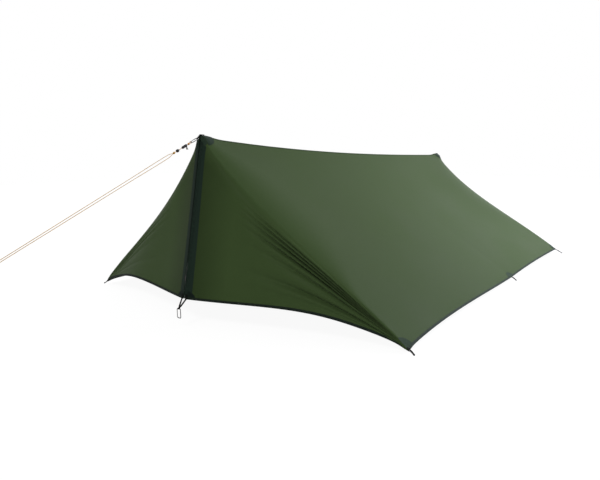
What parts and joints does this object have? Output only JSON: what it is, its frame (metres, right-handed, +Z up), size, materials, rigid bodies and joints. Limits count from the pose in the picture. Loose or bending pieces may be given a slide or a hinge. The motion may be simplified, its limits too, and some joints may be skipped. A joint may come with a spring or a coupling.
{
  "type": "camping tarp",
  "caption": "Ridge-shaped camping tarp pitched between two peaks, with zipped two-leaf doors at both ends, webbing peg loops, carabiners and a front guy line.",
  "frame": {"origin": "on the ground under the middle of the ridge, at the middle of the tarp's box without its guy line", "axes": "+X along the ridge from the front peak to the rear peak, +Y to the left side, +Z up"},
  "size_m": [5.4422, 2.9068, 1.2061],
  "materials": {
    "coated_fabric": "silicone-coated ripstop, satin",
    "sewn_tape": "woven binding, matt",
    "webbing": "woven webbing, matt",
    "zip_tape": "woven zip tape with coils, matt",
    "slider_metal": "dark painted metal, satin",
    "carabiner_alloy": "polished alloy wire",
    "guy_cord": "braided cord, matt",
    "black_plastic": "moulded nylon, matt"
  },
  "bodies": {
    "canopy": {"corner_patch_front_left": "sewn_tape", "corner_patch_front_right": "sewn_tape", "corner_patch_middle_left": "sewn_tape", "corner_patch_middle_right": "sewn_tape", "corner_patch_rear_left": "sewn_tape", "corner_patch_rear_right": "sewn_tape", "peak_patch_front": "sewn_tape", "peak_patch_rear": "sewn_tape", "peak_tab_front": "webbing", "peak_tab_rear": "webbing", "ridge_seam_tape": "sewn_tape", "roof_panel_left": "coated_fabric", "roof_panel_right": "coated_fabric", "side_hem_tape_left": "sewn_tape", "side_hem_tape_right": "sewn_tape", "stake_loop_front_left": "webbing", "stake_loop_front_right": "webbing", "stake_loop_middle_left": "webbing", "stake_loop_middle_right": "webbing", "stake_loop_rear_left": "webbing", "stake_loop_rear_right": "webbing", "peak_carabiner_body": "carabiner_alloy", "peak_carabiner_gate_pin": "carabiner_alloy", "guy_leader": "guy_cord", "guy_line": "guy_cord", "guy_knot_peak": "guy_cord", "guy_knot_runner": "guy_cord", "guy_runner": "black_plastic"},
    "front_right_leaf": {"door_front_right": "coated_fabric", "door_hem_tape_front_right": "sewn_tape", "foot_patch_front_right": "sewn_tape", "zip_tape_front_right": "zip_tape", "foot_tab_front_right": "webbing"},
    "front_left_leaf": {"door_front_left": "coated_fabric", "door_hem_tape_front_left": "sewn_tape", "foot_patch_front_left": "sewn_tape", "zip_tape_front_left": "zip_tape", "foot_tab_front_left": "webbing"},
    "front_zip_slider": {"zip_slider_front": "slider_metal"},
    "front_zip_pull": {"zip_pull_front": "black_plastic"},
    "front_foot_carabiner": {"foot_carabiner_front_body": "carabiner_alloy", "foot_carabiner_front_gate_pin": "carabiner_alloy"},
    "front_foot_gate": {"foot_carabiner_front_gate": "carabiner_alloy"},
    "rear_right_leaf": {"door_rear_right": "coated_fabric", "door_hem_tape_rear_right": "sewn_tape", "foot_patch_rear_right": "sewn_tape", "zip_tape_rear_right": "zip_tape", "foot_tab_rear_right": "webbing"},
    "rear_left_leaf": {"door_rear_left": "coated_fabric", "door_hem_tape_rear_left": "sewn_tape", "foot_patch_rear_left": "sewn_tape", "zip_tape_rear_left": "zip_tape", "foot_tab_rear_left": "webbing"},
    "rear_zip_slider": {"zip_slider_rear": "slider_metal"},
    "rear_zip_pull": {"zip_pull_rear": "black_plastic"},
    "rear_foot_carabiner": {"foot_carabiner_rear_body": "carabiner_alloy", "foot_carabiner_rear_gate_pin": "carabiner_alloy"},
    "rear_foot_gate": {"foot_carabiner_rear_gate": "carabiner_alloy"},
    "peak_gate": {"peak_carabiner_gate": "carabiner_alloy"},
    "line_tensioner": {"guy_tensioner": "black_plastic"}
  },
  "joints": [
    {"name": "front_right_leaf_swing", "type": "hinge", "parent": "canopy", "child": "front_right_leaf", "pos_m": [-1.886, 0, 1.2], "axis": [-0.0965, 0.7613, 0.6412], "range_deg": [0, 100]},
    {"name": "front_left_leaf_swing", "type": "hinge", "parent": "canopy", "child": "front_left_leaf", "pos_m": [-1.886, 0, 1.2], "axis": [0.0965, 0.7613, -0.6412], "range_deg": [0, 100]},
    {"name": "front_zip_slider_travel", "type": "slide", "parent": "front_right_leaf", "child": "front_zip_slider", "axis": [0.193, 0, 0.9812], "range_m": [0, 0.7965]},
    {"name": "front_zip_pull_flip", "type": "hinge", "parent": "front_zip_slider", "child": "front_zip_pull", "pos_m": [-2.06337, 0, 0.32969], "axis": [0, 1, 0], "range_deg": [0, 165]},
    {"name": "front_foot_carabiner_swivel", "type": "hinge", "parent": "front_right_leaf", "child": "front_foot_carabiner", "pos_m": [-2.132, 0, 0.129], "axis": [0, 1, 0], "range_deg": [-100, 100]},
    {"name": "front_foot_gate_swing", "type": "hinge", "parent": "front_foot_carabiner", "child": "front_foot_gate", "pos_m": [-2.132, 0.0153, 0.11418], "axis": [-1, 0, 0], "range_deg": [0, 24], "stiffness_Nm_per_rad": 0.2, "springref_deg": -20.05},
    {"name": "rear_right_leaf_swing", "type": "hinge", "parent": "canopy", "child": "rear_right_leaf", "pos_m": [1.886, 0, 1], "axis": [-0.0778, -0.8215, -0.5649], "range_deg": [0, 100]},
    {"name": "rear_left_leaf_swing", "type": "hinge", "parent": "canopy", "child": "rear_left_leaf", "pos_m": [1.886, 0, 1], "axis": [0.0778, -0.8215, 0.5649], "range_deg": [0, 100]},
    {"name": "rear_zip_slider_travel", "type": "slide", "parent": "rear_right_leaf", "child": "rear_zip_slider", "axis": [-0.2378, 0, 0.9713], "range_m": [0, 0.6011]},
    {"name": "rear_zip_pull_flip", "type": "hinge", "parent": "rear_zip_slider", "child": "rear_zip_pull", "pos_m": [2.05666, 0, 0.3285], "axis": [0, -1, 0], "range_deg": [0, 165]},
    {"name": "rear_foot_carabiner_swivel", "type": "hinge", "parent": "rear_right_leaf", "child": "rear_foot_carabiner", "pos_m": [2.132, 0, 0.129], "axis": [0, 1, 0], "range_deg": [-100, 100]},
    {"name": "rear_foot_gate_swing", "type": "hinge", "parent": "rear_foot_carabiner", "child": "rear_foot_gate", "pos_m": [2.132, 0.0153, 0.11418], "axis": [-1, 0, 0], "range_deg": [0, 24], "stiffness_Nm_per_rad": 0.2, "springref_deg": -20.05},
    {"name": "peak_gate_swing", "type": "hinge", "parent": "canopy", "child": "peak_gate", "pos_m": [-1.92543, 0.0153, 1.18564], "axis": [-0.4035, 0, 0.915], "range_deg": [0, 24], "stiffness_Nm_per_rad": 0.2, "springref_deg": -20.05},
    {"name": "line_tensioner_slide", "type": "slide", "parent": "canopy", "child": "line_tensioner", "axis": [-0.915, 0, -0.4035], "range_m": [0, 0.026]}
  ]
}
